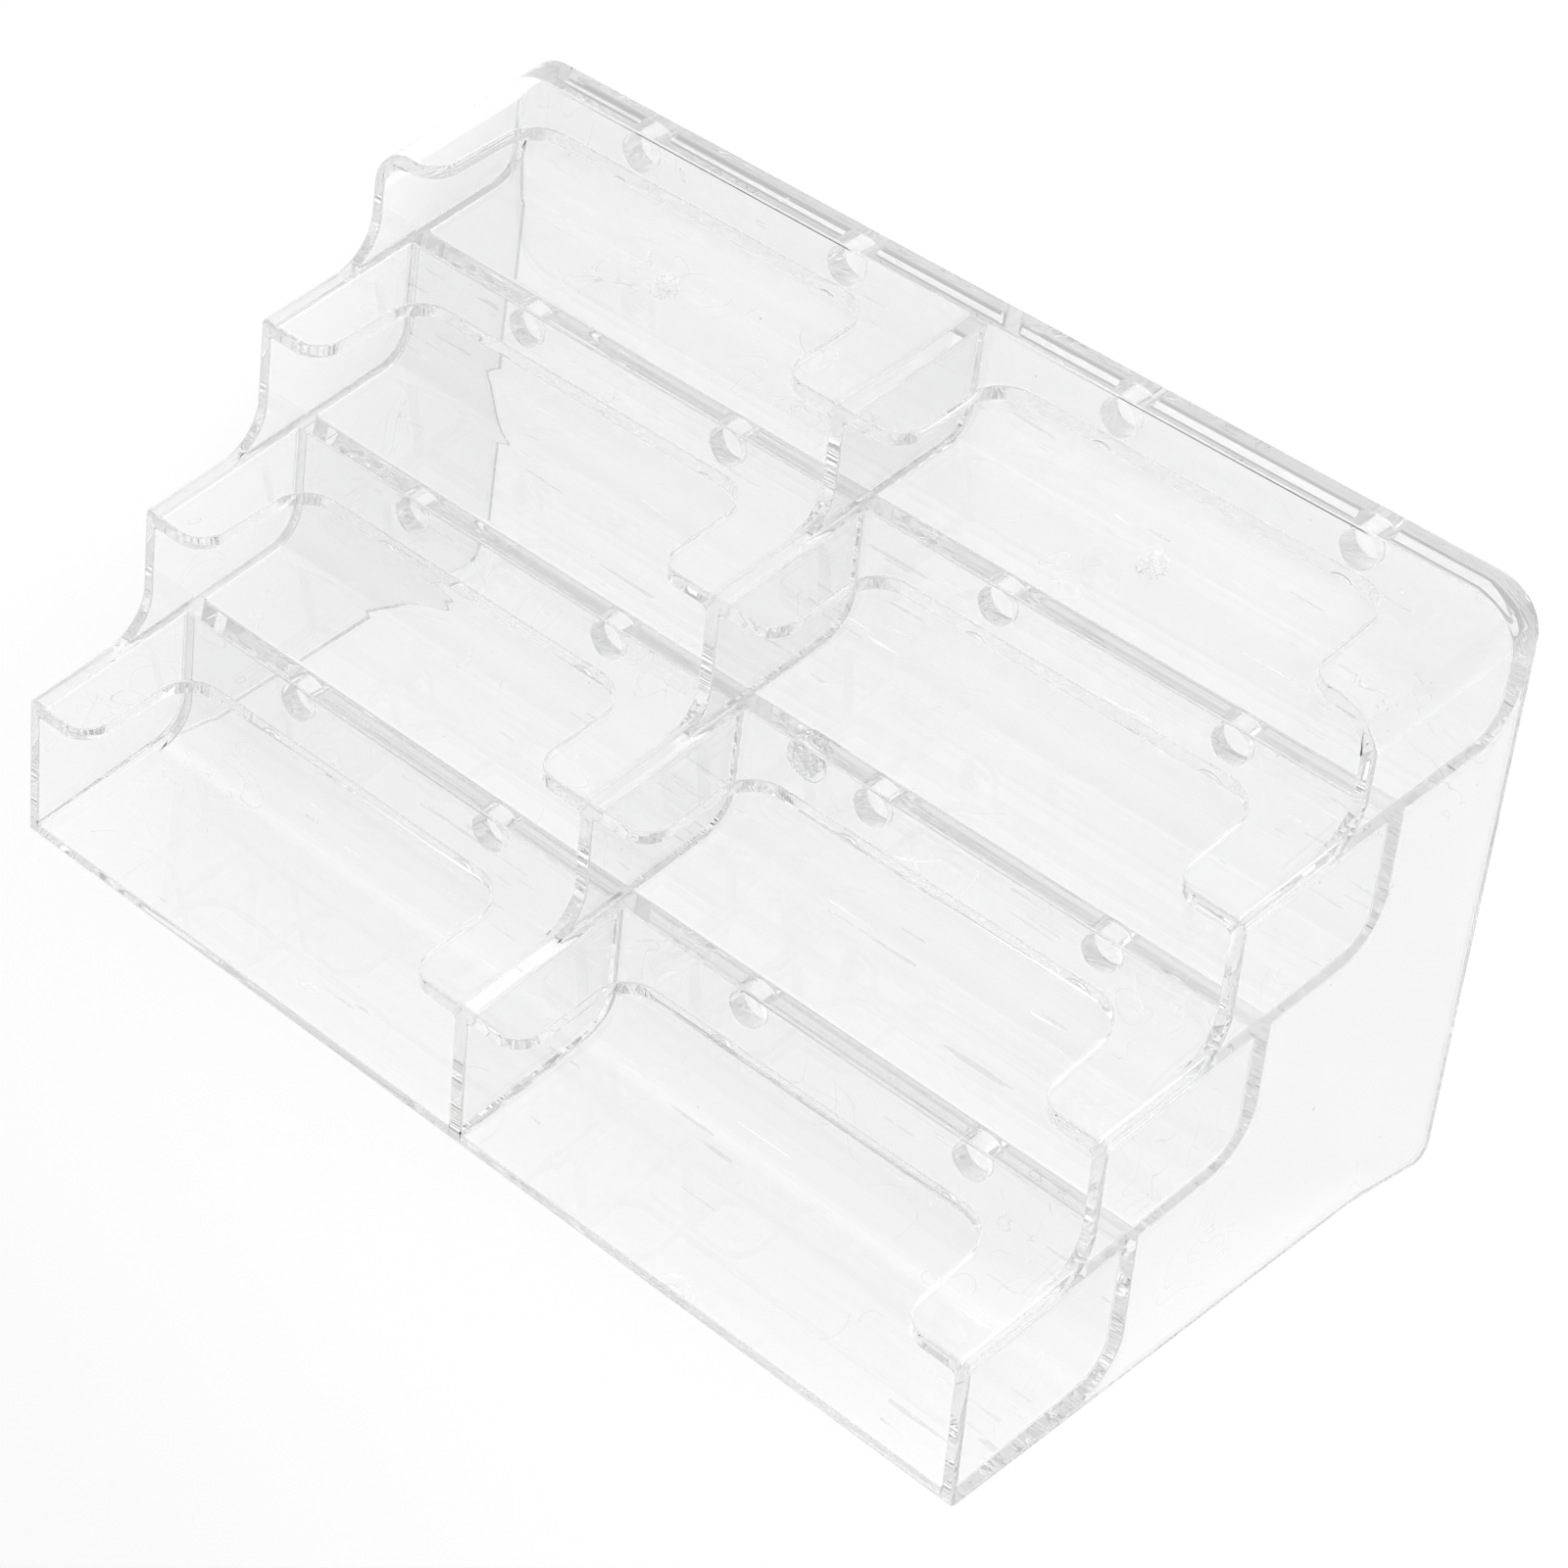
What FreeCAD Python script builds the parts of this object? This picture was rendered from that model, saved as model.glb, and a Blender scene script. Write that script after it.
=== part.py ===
import FreeCAD, Part
import math
import os

# Clear stepped card holder: four tiers of pockets, two columns wide.
# Millimetres. X to the right seen from the front, Y to the back, Z up.
# The origin is the middle of the footprint, on the table.

# overall sizes
widthBase = 203.2          # across the side walls, at the heel of the base
topDepth = 27.3            # back to front of the top tier, at its rim
rise = 23.7                # height from one rim to the next
step = 24.6                # forward step from one tier to the next
lastStep = 22.2            # the lowest tier steps forward a little less
tiers = 4

# walls
sideWall = 2.2
dividerWall = 2.5
sheet = 2.4                # pocket backs and front lips
floorWall = 3.2            # floors of the upper tiers
baseWall = 4.3             # floor of the lowest tier, which stands on the table
pocketDrop = 32.0          # rim to pocket floor
lean = 0.08                # forward slope of every sheet, per mm downwards
draftDepth = 0.0555        # each side wall opens towards the back, per mm
draftHeight = 0.0593       # and towards the base, per mm

# radii
bendInside = 6.0           # pocket back to floor
bendOutside = 9.0
cove = 8.0                 # inner corner of each step in the stair outline
frontCorner = 8.0          # lowest front plate to side wall
root = 0.8                 # moulded root where a sheet meets a wall
crest = 0.9                # outer corners of the stair outline
wallEdge = 0.7             # outer long edges of the side walls

# back foot of the side walls, kicked out behind the back face
heelHeight = 16.5
heelKick = 3.0
heelRadius = 3.0

# thumb notch in each front lip
tabWidth = 10.4            # tab left standing beside each wall
notchClear = 2.2           # lowest edge of the notch above the next rim down
notchRadius = 6.0
tabRadius = 5.0

# core pin holes in each floor
holeDiameter = 6.2
holeInset = 25.0           # hole centre from each wall of the pocket
holeBehindLip = 4.1        # hole centre behind the inner face of the front lip

# gate stub under one floor
gateTier = 2
gateDiameter = 6.2
gateHeight = 0.8
gateFromDivider = 11.8
gateBehindLip = 4.7

# sizes that follow from the ones above
height = (tiers - 1) * rise + pocketDrop + baseWall
notchDepth = rise - notchClear

# construction room around the part
reach = 40.0               # how far cutting tools run past a wall
span = widthBase / 2.0 + 10.0
sky = height + reach
near = 0.01                # tolerance when edges are picked by position


def rimHeight(tier):
    return height - (tier - 1) * rise


def rimFront(tier):
    front = topDepth + (tier - 1) * step
    if tier == tiers:
        front += lastStep - step
    return front


def frontFace(tier, up):
    return rimFront(tier) + lean * (rimHeight(tier) - up)


def lipInside(tier, up):
    return frontFace(tier, up) - sheet


def pocketBack(tier, up):
    if tier == 1:
        return sheet + lean * (height - up)
    return frontFace(tier - 1, up)


def floorTop(tier):
    return rimHeight(tier) - pocketDrop


def floorUnder(tier):
    if tier == tiers:
        return 0.0
    return floorTop(tier) - floorWall


def heelReach():
    # the rounded heel stands out a little less than its sharp corner would
    slope = math.atan2(heelHeight, heelKick)
    return heelKick + heelRadius - heelRadius / math.tan(slope / 2.0)


# depth is kept as the distance forward of the back wall until it is placed
fullDepth = frontFace(tiers, 0.0) + heelReach()
backY = fullDepth / 2.0 - heelReach()


def place(x, forward, up):
    return FreeCAD.Vector(x, backY - forward, up)


def halfWidth(forward, up):
    return widthBase / 2.0 - draftDepth * (forward + heelReach()) - draftHeight * up


def roundedWire(points, plane):
    # points are (a, b, radius); each corner with a radius becomes an arc
    count = len(points)
    edges = []
    last = None
    first = None
    for i in range(count):
        a, b, radius = points[i]
        corner = plane(a, b)
        before = plane(points[i - 1][0], points[i - 1][1]) - corner
        after = plane(points[(i + 1) % count][0], points[(i + 1) % count][1]) - corner
        before.normalize()
        after.normalize()
        if radius > 0.0:
            half = before.getAngle(after) / 2.0
            back = radius / math.tan(half)
            start = corner + before * back
            end = corner + after * back
            bisector = (before + after).normalize()
            middle = corner + bisector * (radius / math.sin(half) - radius)
            arc = Part.Arc(start, middle, end).toShape()
        else:
            start = corner
            end = corner
            arc = None
        if last is not None and (start - last).Length > 1e-6:
            edges.append(Part.makeLine(last, start))
        if arc is not None:
            edges.append(arc)
        if first is None:
            first = start
        last = end
    if (first - last).Length > 1e-6:
        edges.append(Part.makeLine(last, first))
    return Part.Wire(edges)


def sectionPrism(points, xLow, xHigh):
    wire = roundedWire(points, lambda forward, up: place(xLow, forward, up))
    return Part.Face(wire).extrude(FreeCAD.Vector(xHigh - xLow, 0, 0))


def outsideOfWall(offset, side):
    # everything beyond the right or left wall plane, moved inwards by offset
    corners = []
    ahead = fullDepth + reach
    for forward, up in ((-reach, -reach), (ahead, -reach), (ahead, sky), (-reach, sky)):
        corners.append(place(side * (halfWidth(forward, up) - offset), forward, up))
    face = Part.Face(Part.makePolygon(corners + corners[:1]))
    return face.extrude(FreeCAD.Vector(side * reach, 0, 0))


def stairBlock():
    points = [(0.0, height, crest)]
    for tier in range(1, tiers + 1):
        up = rimHeight(tier)
        points.append((rimFront(tier), up, crest if tier < tiers else 0.0))
        if tier < tiers:
            below = rimHeight(tier + 1)
            points.append((frontFace(tier, below), below, cove))
    points.append((frontFace(tiers, 0.0), 0.0, 0.0))
    points.append((-heelKick, 0.0, heelRadius))
    points.append((0.0, heelHeight, 0.0))
    block = sectionPrism(points, -span, span)
    for side in (-1, 1):
        block = block.cut(outsideOfWall(0.0, side))
    return block


def edgesWhere(shape, test):
    return [edge for edge in shape.Edges if test(edge)]


def roundWallEdges(block):
    # the long edges of the stair outline, on the outside of both side walls
    back = place(0, 0, 0).y

    def outline(edge):
        box = edge.BoundBox
        alongWall = box.XLength < span and abs(box.XMin) > near
        return alongWall and box.ZMin > near and box.YMin < back - near

    return block.makeFillet(wallEdge, edgesWhere(block, outline))


def roundFrontCorners(block):
    # the lowest front plate runs round into the side walls
    low = place(0, frontFace(tiers, 0.0), 0.0).y
    high = place(0, rimFront(tiers), rimHeight(tiers)).y

    def upright(edge):
        box = edge.BoundBox
        atEnds = abs(box.YMin - low) < near and abs(box.YMax - high) < near
        return atEnds and box.XLength < span

    return block.makeFillet(frontCorner, edgesWhere(block, upright))


def pocketCore(tier, side):
    rim = rimHeight(tier)
    over = rim + cove + 2.0
    bottom = floorTop(tier)
    points = [
        (pocketBack(tier, over), over, 0.0),
        (pocketBack(tier, bottom), bottom, bendInside),
        (lipInside(tier, bottom), bottom, 0.0),
        (lipInside(tier, over), over, 0.0),
    ]
    inner = dividerWall / 2.0
    core = sectionPrism(points, inner, span)
    core = core.cut(outsideOfWall(sideWall, 1))
    core = roundCore(core, tier, over)
    if side < 0:
        core = core.mirror(FreeCAD.Vector(0, 0, 0), FreeCAD.Vector(1, 0, 0))
    return core


def roundCore(core, tier, over):
    # the open end at the top stays sharp; it only cuts air
    lip = place(0, lipInside(tier, over), 0).y
    columnMiddle = span / 2.0

    def frontUpright(edge):
        box = edge.BoundBox
        atLip = abs(box.YMax - lip) < near
        return atLip and box.ZLength > pocketDrop and box.XMin > columnMiddle

    if tier == tiers:
        core = core.makeFillet(frontCorner - sideWall, edgesWhere(core, frontUpright))

    def rootEdge(edge):
        box = edge.BoundBox
        if box.ZMin > over - near:
            return False
        if box.XMin < columnMiddle and box.XMax > columnMiddle:
            return box.YMin < lip + sheet and box.ZLength < near
        return True

    return core.makeFillet(root, edgesWhere(core, rootEdge))


def hollowCore():
    # the open space behind and under the tiers
    first = floorUnder(1)
    points = [(-reach, first + bendOutside, 0.0), (0.0, first + bendOutside, 0.0), (0.0, first, bendOutside)]
    for tier in range(1, tiers):
        under = floorUnder(tier)
        below = floorUnder(tier + 1)
        points.append((lipInside(tier, under), under, root))
        points.append((lipInside(tier, below), below, bendOutside))
    foot = lipInside(tiers - 1, 0.0) + 2.0 * bendOutside
    points.append((foot, 0.0, 0.0))
    points.append((foot, -reach, 0.0))
    points.append((-reach, -reach, 0.0))
    core = sectionPrism(points, -span, span)
    for side in (-1, 1):
        core = core.cut(outsideOfWall(sideWall, side))
    return core


def roundHollow(core):
    # moulded roots along both side walls
    back = place(0, 0, 0).y
    top = floorUnder(1) + bendOutside

    def along(edge):
        box = edge.BoundBox
        if box.XMin < 0.0 and box.XMax > 0.0:
            return False
        return box.YMax < back - near and box.ZMin > near and box.ZMax < top - near

    return core.makeFillet(root, edgesWhere(core, along))


def notchCutter(tier, side):
    rim = rimHeight(tier)
    over = rim + tabRadius
    low = rim - notchDepth
    inner = dividerWall / 2.0 + tabWidth
    outer = halfWidth(rimFront(tier), rim) - sideWall - tabWidth
    points = [
        (inner - 2.0 * tabRadius, over, 0.0),
        (inner - 2.0 * tabRadius, rim, 0.0),
        (inner, rim, tabRadius),
        (inner, low, notchRadius),
        (outer, low, notchRadius),
        (outer, rim, tabRadius),
        (outer + 2.0 * tabRadius, rim, 0.0),
        (outer + 2.0 * tabRadius, over, 0.0),
    ]
    start = lipInside(tier, over) - sheet / 2.0
    ahead = frontFace(tier, low) + sheet
    wire = roundedWire(points, lambda x, up: place(side * x, start, up))
    return Part.Face(wire).extrude(FreeCAD.Vector(0, start - ahead, 0))


def holeCutter(tier, x):
    up = floorTop(tier)
    low = floorUnder(tier) - floorWall
    forward = lipInside(tier, up) - holeBehindLip
    return Part.makeCylinder(holeDiameter / 2.0, up + floorWall - low, place(x, forward, low))


def holePlaces(tier):
    up = floorTop(tier)
    inner = dividerWall / 2.0 + holeInset
    outer = halfWidth(lipInside(tier, up), up) - sideWall - holeInset
    return [inner, outer]


def moulding():
    body = roundWallEdges(roundFrontCorners(stairBlock()))
    tools = [roundHollow(hollowCore())]
    for tier in range(1, tiers + 1):
        for side in (-1, 1):
            tools.append(pocketCore(tier, side))
            tools.append(notchCutter(tier, side))
            for x in holePlaces(tier):
                tools.append(holeCutter(tier, side * x))
    return body.cut(tools)


def insideWalls(side):
    # the room between the divider and one side wall
    inner = dividerWall / 2.0
    room = slab(min(side * inner, side * span), span - inner)
    return room.cut(outsideOfWall(sideWall, side))


def slab(xLow, thickness):
    # a slice across the whole part, from one x towards the right
    corner = FreeCAD.Vector(xLow, -fullDepth, -reach)
    return Part.makeBox(thickness, 2.0 * fullDepth, sky + reach, corner)


def forwardOfSheet(tier):
    # everything forward of the back face of one sheet
    corners = []
    for up in (-reach, sky):
        corners.append(place(-span, lipInside(tier, up), up))
    corners.append(corners[1] + FreeCAD.Vector(2 * span, 0, 0))
    corners.append(corners[0] + FreeCAD.Vector(2 * span, 0, 0))
    face = Part.Face(Part.makePolygon(corners + corners[:1]))
    return face.extrude(FreeCAD.Vector(0, -2.0 * fullDepth, 0))


def gateStub():
    up = floorUnder(gateTier)
    forward = lipInside(gateTier, floorTop(gateTier)) - gateBehindLip
    x = -(dividerWall / 2.0 + gateFromDivider)
    return Part.makeCylinder(gateDiameter / 2.0, gateHeight, place(x, forward, up - gateHeight))


def write(name, shape):
    solids = shape.Solids
    if len(solids) != 1 or not solids[0].isValid():
        raise ValueError(name + " is not one sound solid")
    solids[0].exportStep("parts/" + name + ".step")
    print(name, round(solids[0].Volume))


os.makedirs("parts", exist_ok=True)
body = moulding()
write("centre_divider", body.common(slab(-dividerWall / 2.0, dividerWall)))
for side, sign in (("right", 1), ("left", -1)):
    write("side_wall_" + side, body.common(outsideOfWall(sideWall, sign)))
    rest = body.common(insideWalls(sign))
    for tier in range(tiers, 0, -1):
        cutter = forwardOfSheet(tier)
        front = rest.common(cutter)
        rest = rest.cut(cutter)
        if tier + 1 == gateTier and sign < 0:
            front = front.fuse(gateStub())
        name = "front_plate_" if tier == tiers else "tier_%d_sheet_" % (tier + 1)
        write(name + side, front)
    write("tier_1_sheet_" + side, rest)
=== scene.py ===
import bpy
import bmesh
import math
from mathutils import Matrix, Quaternion, Vector
from mathutils.bvhtree import BVHTree


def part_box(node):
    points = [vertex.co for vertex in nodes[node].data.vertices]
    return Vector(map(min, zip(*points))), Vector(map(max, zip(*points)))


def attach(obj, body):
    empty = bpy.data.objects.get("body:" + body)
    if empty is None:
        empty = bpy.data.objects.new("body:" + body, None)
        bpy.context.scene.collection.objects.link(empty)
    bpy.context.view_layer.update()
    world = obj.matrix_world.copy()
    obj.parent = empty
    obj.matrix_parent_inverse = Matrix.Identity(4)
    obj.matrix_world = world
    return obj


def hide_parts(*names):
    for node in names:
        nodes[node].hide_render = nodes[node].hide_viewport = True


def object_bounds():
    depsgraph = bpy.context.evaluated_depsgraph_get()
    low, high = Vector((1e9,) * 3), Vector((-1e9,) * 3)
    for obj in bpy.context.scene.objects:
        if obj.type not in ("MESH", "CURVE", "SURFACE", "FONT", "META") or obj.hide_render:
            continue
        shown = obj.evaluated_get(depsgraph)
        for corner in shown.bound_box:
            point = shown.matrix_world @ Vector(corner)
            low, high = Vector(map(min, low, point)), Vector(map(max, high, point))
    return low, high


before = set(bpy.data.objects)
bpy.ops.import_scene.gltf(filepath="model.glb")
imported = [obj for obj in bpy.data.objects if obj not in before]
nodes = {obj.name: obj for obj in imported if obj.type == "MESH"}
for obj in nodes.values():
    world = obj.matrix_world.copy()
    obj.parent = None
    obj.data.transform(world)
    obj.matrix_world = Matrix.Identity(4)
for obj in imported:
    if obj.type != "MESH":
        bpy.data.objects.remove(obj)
cadLow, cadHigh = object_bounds()
scene = bpy.context.scene
print("frame loaded, panels:", len(nodes))


# camera: looks at the holder from above its left front, rolled over on one side
view = {
    "aim": Vector((-0.00150, 0.01793, 0.04)),
    "distance": 0.5753,
    "azimuth": math.radians(-35.84),
    "elevation": math.radians(38.16),
    "roll": math.radians(-123.35),
    "lens": 86.8,
    "sensor": 36,
    "clipStart": 0.01,
    "clipEnd": 50,
}


def makeCamera():
    side = math.cos(view["elevation"])
    back = Vector((
        math.sin(view["azimuth"]) * side,
        -math.cos(view["azimuth"]) * side,
        math.sin(view["elevation"]),
    ))
    data = bpy.data.cameras.new("camera")
    data.lens = view["lens"]
    data.sensor_width = view["sensor"]
    data.clip_start = view["clipStart"]
    data.clip_end = view["clipEnd"]
    camera = bpy.data.objects.new("camera", data)
    scene.collection.objects.link(camera)
    camera.location = view["aim"] + back * view["distance"]
    camera.rotation_mode = "QUATERNION"
    turn = (-back).to_track_quat("-Z", "Y")
    camera.rotation_quaternion = turn @ Quaternion((0, 0, 1), view["roll"])
    scene.camera = camera


makeCamera()


class Wire:
    # one socket of a node tree, with arithmetic
    def __init__(self, tree, socket=None):
        self.tree = tree
        self.socket = socket

    def make(self, kind, settings=None, sockets=None, output=0):
        node = self.tree.nodes.new(kind)
        for name, value in (settings or {}).items():
            if name == "stops":
                self.setStops(node.color_ramp.elements, value)
            else:
                setattr(node, name, value)
        for name, value in (sockets or {}).items():
            if isinstance(value, Wire):
                self.tree.links.new(value.socket, node.inputs[name])
            else:
                node.inputs[name].default_value = value
        return Wire(self.tree, node.outputs[output] if node.outputs else None)

    def setStops(self, elements, stops):
        while len(elements) < len(stops):
            elements.new(1.0)
        for element, (position, level) in zip(elements, stops):
            element.position = position
            element.color = (level, level, level, 1.0)

    def math(self, operation, first, second):
        return self.make("ShaderNodeMath", {"operation": operation}, {0: first, 1: second})

    def __add__(self, other):
        return self.math("ADD", self, other)

    def __radd__(self, other):
        return self.math("ADD", other, self)

    def __sub__(self, other):
        return self.math("SUBTRACT", self, other)

    def __rsub__(self, other):
        return self.math("SUBTRACT", other, self)

    def __mul__(self, other):
        return self.math("MULTIPLY", self, other)

    def __rmul__(self, other):
        return self.math("MULTIPLY", other, self)

    def __abs__(self):
        return self.math("ABSOLUTE", self, 0.0)

    def __lt__(self, other):
        return self.math("LESS_THAN", self, other)

    def __gt__(self, other):
        return self.math("GREATER_THAN", self, other)


def newMaterial(name):
    material = bpy.data.materials.new(name)
    material.use_nodes = True
    material.node_tree.nodes.clear()
    return material, Wire(material.node_tree)


# clear moulded plastic, with what handling and moulding leave on it
plastic = {
    "color": (0.984, 0.986, 0.986, 1.0),
    "sideShadedColor": (0.945, 0.948, 0.948, 1.0),     # painted shade: upright walls are looked through on the slant, so they and the dividers get darker copies of the same clear plastic
    "dividerShadedColor": (0.915, 0.918, 0.918, 1.0),
    "ior": 1.57,
    "roughness": 0.0,
    "patchScale": 42.0,         # handled patches, where the marks gather
    "hairPatch": 0.64,
    "smallPatch": 0.4,
    "hairScale": 70.0,          # fine curved scratches
    "hairWidth": 0.0024,
    "hairCurl": 1.4,
    "scuffStretch": (60.0, 1100.0, 1100.0),   # short dashes along the pockets
    "scuffLevel": 0.78,
    "speckScale": 120.0,
    "speckRadius": 0.03,
    "markColor": (0.55, 0.56, 0.56, 1.0),
    "markRoughness": 0.6,
    "marked": 0.23,             # how strongly wear hides what is behind it
}

# the small scar that the mould leaves low on each pocket back
scar = {
    "aside": 0.008,
    "above": 0.0098,
    "radius": 0.0024,
    "lineScale": 620.0,
    "lineWidth": 0.03,
    "lineCurl": 1.5,
    "marked": 0.4,
}

# the rough round stub of the moulding gate
gate = {
    "fromDivider": 0.0118,
    "behindLip": 0.0047,
    "radius": 0.0031,
    "grainScale": 900.0,
    "grainWidth": 0.12,
    "grainCurl": 1.5,
    "marked": 0.4,
}


def noise(tree, place, scale, distortion=0.0):
    return tree.make("ShaderNodeTexNoise", None, {
        "Vector": place, "Scale": scale, "Detail": 0.0, "Distortion": distortion})


def contour(field, width):
    # thin lines where a noise field crosses its middle level
    return abs(field - 0.5) < width


def wear(tree, place, scuffed):
    patch = noise(tree, place, plastic["patchScale"])
    curls = noise(tree, place, plastic["hairScale"], plastic["hairCurl"])
    hairs = contour(curls, plastic["hairWidth"])
    cells = tree.make("ShaderNodeTexVoronoi", None, {
        "Vector": place, "Scale": plastic["speckScale"]})
    small = cells < plastic["speckRadius"]
    if scuffed:
        drawn = tree.make("ShaderNodeMapping", None, {
            "Vector": place, "Scale": plastic["scuffStretch"]})
        small = small + (noise(tree, drawn, 1.0) > plastic["scuffLevel"])
    return hairs * (patch > plastic["hairPatch"]) + small * (patch < plastic["smallPatch"])


def spot(tree, place, centre, across, radius):
    # a round patch seen along one axis
    shift = tuple(-part * kept for part, kept in zip(centre, across))
    flat = tree.make("ShaderNodeMapping", None, {
        "Vector": place, "Location": shift, "Scale": across})
    distance = tree.make("ShaderNodeVectorMath", {"operation": "LENGTH"}, {0: flat}, output="Value")
    return distance < radius


def clearPlastic(name, color, scuffed=False, scarAt=None, gateAt=None):
    material, tree = newMaterial(name)
    place = tree.make("ShaderNodeTexCoord", output="Object")
    marks = wear(tree, place, scuffed) * plastic["marked"]
    if scarAt:
        squiggle = contour(
            noise(tree, place, scar["lineScale"], scar["lineCurl"]), scar["lineWidth"])
        squiggle = squiggle * spot(tree, place, scarAt, (1.0, 0.0, 1.0), scar["radius"])
        marks = marks + squiggle * scar["marked"]
    if gateAt:
        grain = contour(
            noise(tree, place, gate["grainScale"], gate["grainCurl"]), gate["grainWidth"])
        grain = grain * spot(tree, place, gateAt, (1.0, 1.0, 0.0), gate["radius"])
        marks = marks + grain * gate["marked"]
    moulded = tree.make("ShaderNodeBsdfPrincipled", None, {
        "Base Color": color,
        "Roughness": plastic["roughness"],
        "IOR": plastic["ior"],
        "Transmission Weight": 1.0,
    })
    worn = tree.make("ShaderNodeBsdfPrincipled", None, {
        "Base Color": plastic["markColor"],
        "Roughness": plastic["markRoughness"],
        "IOR": plastic["ior"],
    })
    factor = tree.math("MINIMUM", marks, 1.0)
    surface = tree.make("ShaderNodeMixShader", None, {0: factor, 1: moulded, 2: worn})
    tree.make("ShaderNodeOutputMaterial", None, {"Surface": surface})
    return material


def bondedFace():
    # where two panels are one moulding, light passes straight through
    material, tree = newMaterial("bonded_face")
    shader = tree.make("ShaderNodeBsdfTransparent")
    tree.make("ShaderNodeOutputMaterial", None, {"Surface": shader})
    return material


# painted shade: side walls and dividers are darker copies of the one clear plastic
sideClear = clearPlastic("clear_side_wall", plastic["sideShadedColor"])
dividerClear = clearPlastic("clear_divider", plastic["dividerShadedColor"])
plateClear = clearPlastic("clear_front_plate", plastic["color"])
bonded = bondedFace()


def panelMaterial(name):
    if "side_wall" in name:
        return sideClear
    if "divider" in name:
        return dividerClear
    if "front_plate" in name:
        return plateClear
    # a pocket's own sheet carries the scar, and one of them the gate
    low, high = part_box(name)
    scarAt = ((low.x + high.x) / 2 + scar["aside"], 0.0, low.z + scar["above"])
    gateAt = None
    if name == "tier_2_sheet_left":
        gateAt = (high.x - gate["fromDivider"], low.y + gate["behindLip"], 0.0)
    return clearPlastic("clear_" + name, plastic["color"], True, scarAt, gateAt)


panel = {
    "weld": 1e-6,
    "touching": 2e-5,
    "facing": -0.99,
    "flat": math.radians(0.3),
    "sharp": math.radians(40),
    "rounding": 0.00028,
    "segments": 3,
    "profile": 0.5,
}


def triangleTree(names):
    corners = []
    faces = []
    for name in names:
        mesh = nodes[name].data
        start = len(corners)
        corners.extend(v.co.copy() for v in mesh.vertices)
        faces.extend([start + v for v in face.vertices] for face in mesh.polygons)
    return BVHTree.FromPolygons(corners, faces)


def markBonded(made, others):
    count = 0
    for face in made.faces:
        _, normal, _, distance = others.find_nearest(face.calc_center_median())
        if distance < panel["touching"] and normal.dot(face.normal) < panel["facing"]:
            face.material_index = 1
            count += 1
    return count


def isRim(edge):
    if len(edge.link_faces) != 2 or not edge.is_convex:
        return False
    if any(face.material_index == 1 for face in edge.link_faces):
        return False
    return edge.calc_face_angle(0) > panel["sharp"]


def makePanel(name):
    node = nodes[name]
    made = bmesh.new()
    made.from_mesh(node.data)
    bmesh.ops.remove_doubles(made, verts=made.verts, dist=panel["weld"])
    for face in made.faces:
        face.material_index = 0
    made.normal_update()
    count = markBonded(made, triangleTree([other for other in nodes if other != name]))
    bmesh.ops.dissolve_limit(
        made, angle_limit=panel["flat"], verts=made.verts, edges=made.edges, delimit={"MATERIAL"})
    rims = [edge for edge in made.edges if isRim(edge)]
    bmesh.ops.bevel(
        made, geom=rims, offset=panel["rounding"], segments=panel["segments"],
        profile=panel["profile"], affect="EDGES", material=-1)
    bmesh.ops.remove_doubles(made, verts=made.verts, dist=panel["weld"])
    bmesh.ops.dissolve_degenerate(made, dist=panel["weld"], edges=made.edges)
    for edge in made.edges:
        sides = [face.material_index for face in edge.link_faces]
        edge.smooth = len(set(sides)) == 1
    mesh = bpy.data.meshes.new(name + "_clear")
    made.to_mesh(mesh)
    made.free()
    mesh.materials.append(panelMaterial(name))
    mesh.materials.append(bonded)
    for face in mesh.polygons:
        face.use_smooth = True
    piece = bpy.data.objects.new(name + "_clear", mesh)
    scene.collection.objects.link(piece)
    keep = piece.modifiers.new("even shading", "WEIGHTED_NORMAL")
    keep.keep_sharp = True
    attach(piece, "root")
    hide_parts(name)
    print(name, "bonded", count, "rims", len(rims), "faces", len(mesh.polygons))
    return piece


for name in sorted(nodes):
    makePanel(name)
print("panels made")


# floor: pale, and bright enough by itself to shine up through the plastic
ground = {
    "color": (0.2, 0.2, 0.2, 1.0),
    "roughness": 0.9,
    "glow": (1.0, 1.0, 1.0, 1.0),
    "glowStrength": 0.74,
    "size": 4.0,
    "gap": 0.0002,
}


def paleFloor():
    material, tree = newMaterial("pale_floor")
    shader = tree.make("ShaderNodeBsdfPrincipled", None, {
        "Base Color": ground["color"],
        "Roughness": ground["roughness"],
        "Emission Color": ground["glow"],
        "Emission Strength": ground["glowStrength"],
    })
    tree.make("ShaderNodeOutputMaterial", None, {"Surface": shader})
    return material


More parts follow.
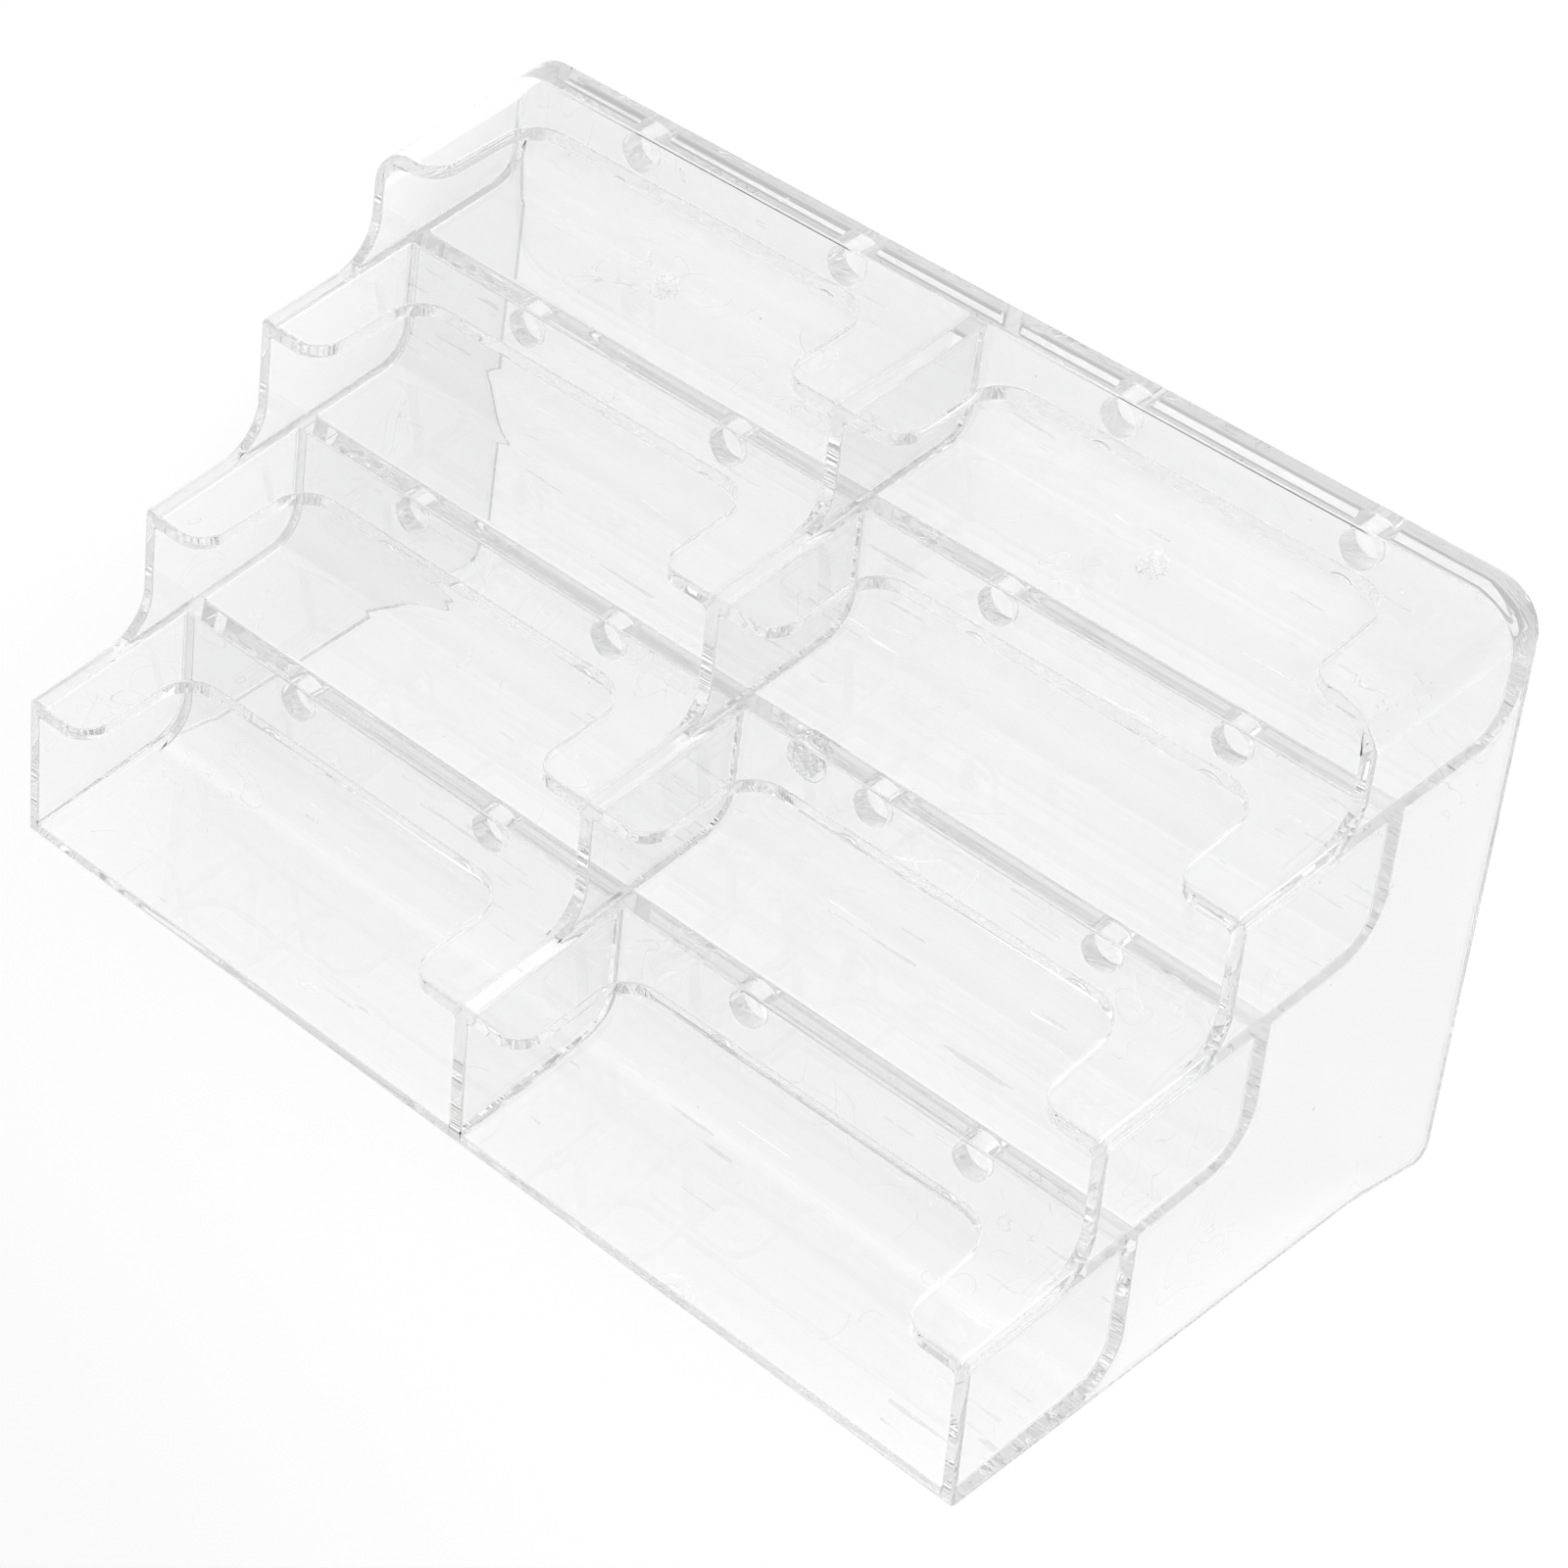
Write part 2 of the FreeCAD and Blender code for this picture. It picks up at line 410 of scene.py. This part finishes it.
def makeFloor():
    made = bmesh.new()
    bmesh.ops.create_grid(made, x_segments=1, y_segments=1, size=ground["size"])
    mesh = bpy.data.meshes.new("floor")
    made.to_mesh(mesh)
    made.free()
    mesh.transform(Matrix.Translation((0, 0, cadLow.z - ground["gap"])))
    mesh.materials.append(paleFloor())
    floor = bpy.data.objects.new("floor", mesh)
    scene.collection.objects.link(floor)


makeFloor()
print("floor made")


# studio: a bright sky overhead that falls off towards the horizon
studio = {
    "stops": ((0.0, 0.52), (0.5, 0.52), (0.65, 0.48), (0.85, 0.72), (1.0, 0.84)),
    "strength": 1.0,
}


def makeStudio():
    world = bpy.data.worlds.new("studio")
    world.use_nodes = True
    world.node_tree.nodes.clear()
    tree = Wire(world.node_tree)
    place = tree.make("ShaderNodeTexCoord", output="Generated")
    height = tree.make("ShaderNodeSeparateXYZ", None, {0: place}, output="Z")
    level = tree.make("ShaderNodeValToRGB", {"stops": studio["stops"]}, {0: height * 0.5 + 0.5})
    light = tree.make("ShaderNodeBackground", None, {
        "Color": level, "Strength": studio["strength"]})
    tree.make("ShaderNodeOutputWorld", None, {"Surface": light})
    scene.world = world


makeStudio()


# one soft light from the camera's side
frontLight = {
    "distance": 0.75,
    "size": 0.3,
    "power": 9.5,
}


def makeFrontLight():
    camera = scene.camera
    data = bpy.data.lights.new("front_light", "AREA")
    data.shape = "DISK"
    data.size = frontLight["size"]
    data.energy = frontLight["power"]
    data.cycles.use_multiple_importance_sampling = False
    light = bpy.data.objects.new("front_light", data)
    scene.collection.objects.link(light)
    towards = (camera.location - view["aim"]).normalized()
    light.location = view["aim"] + towards * frontLight["distance"]
    light.rotation_mode = "QUATERNION"
    light.rotation_quaternion = (-towards).to_track_quat("-Z", "Y")


makeFrontLight()
print("lights made")

scene.view_settings.view_transform = "Standard"
scene.view_settings.look = "None"
# light runs far along inside the clear walls before it comes out
bounces = 96
scene.cycles.max_bounces = bounces
scene.cycles.transmission_bounces = bounces
scene.cycles.transparent_max_bounces = bounces
scene.cycles.glossy_bounces = bounces
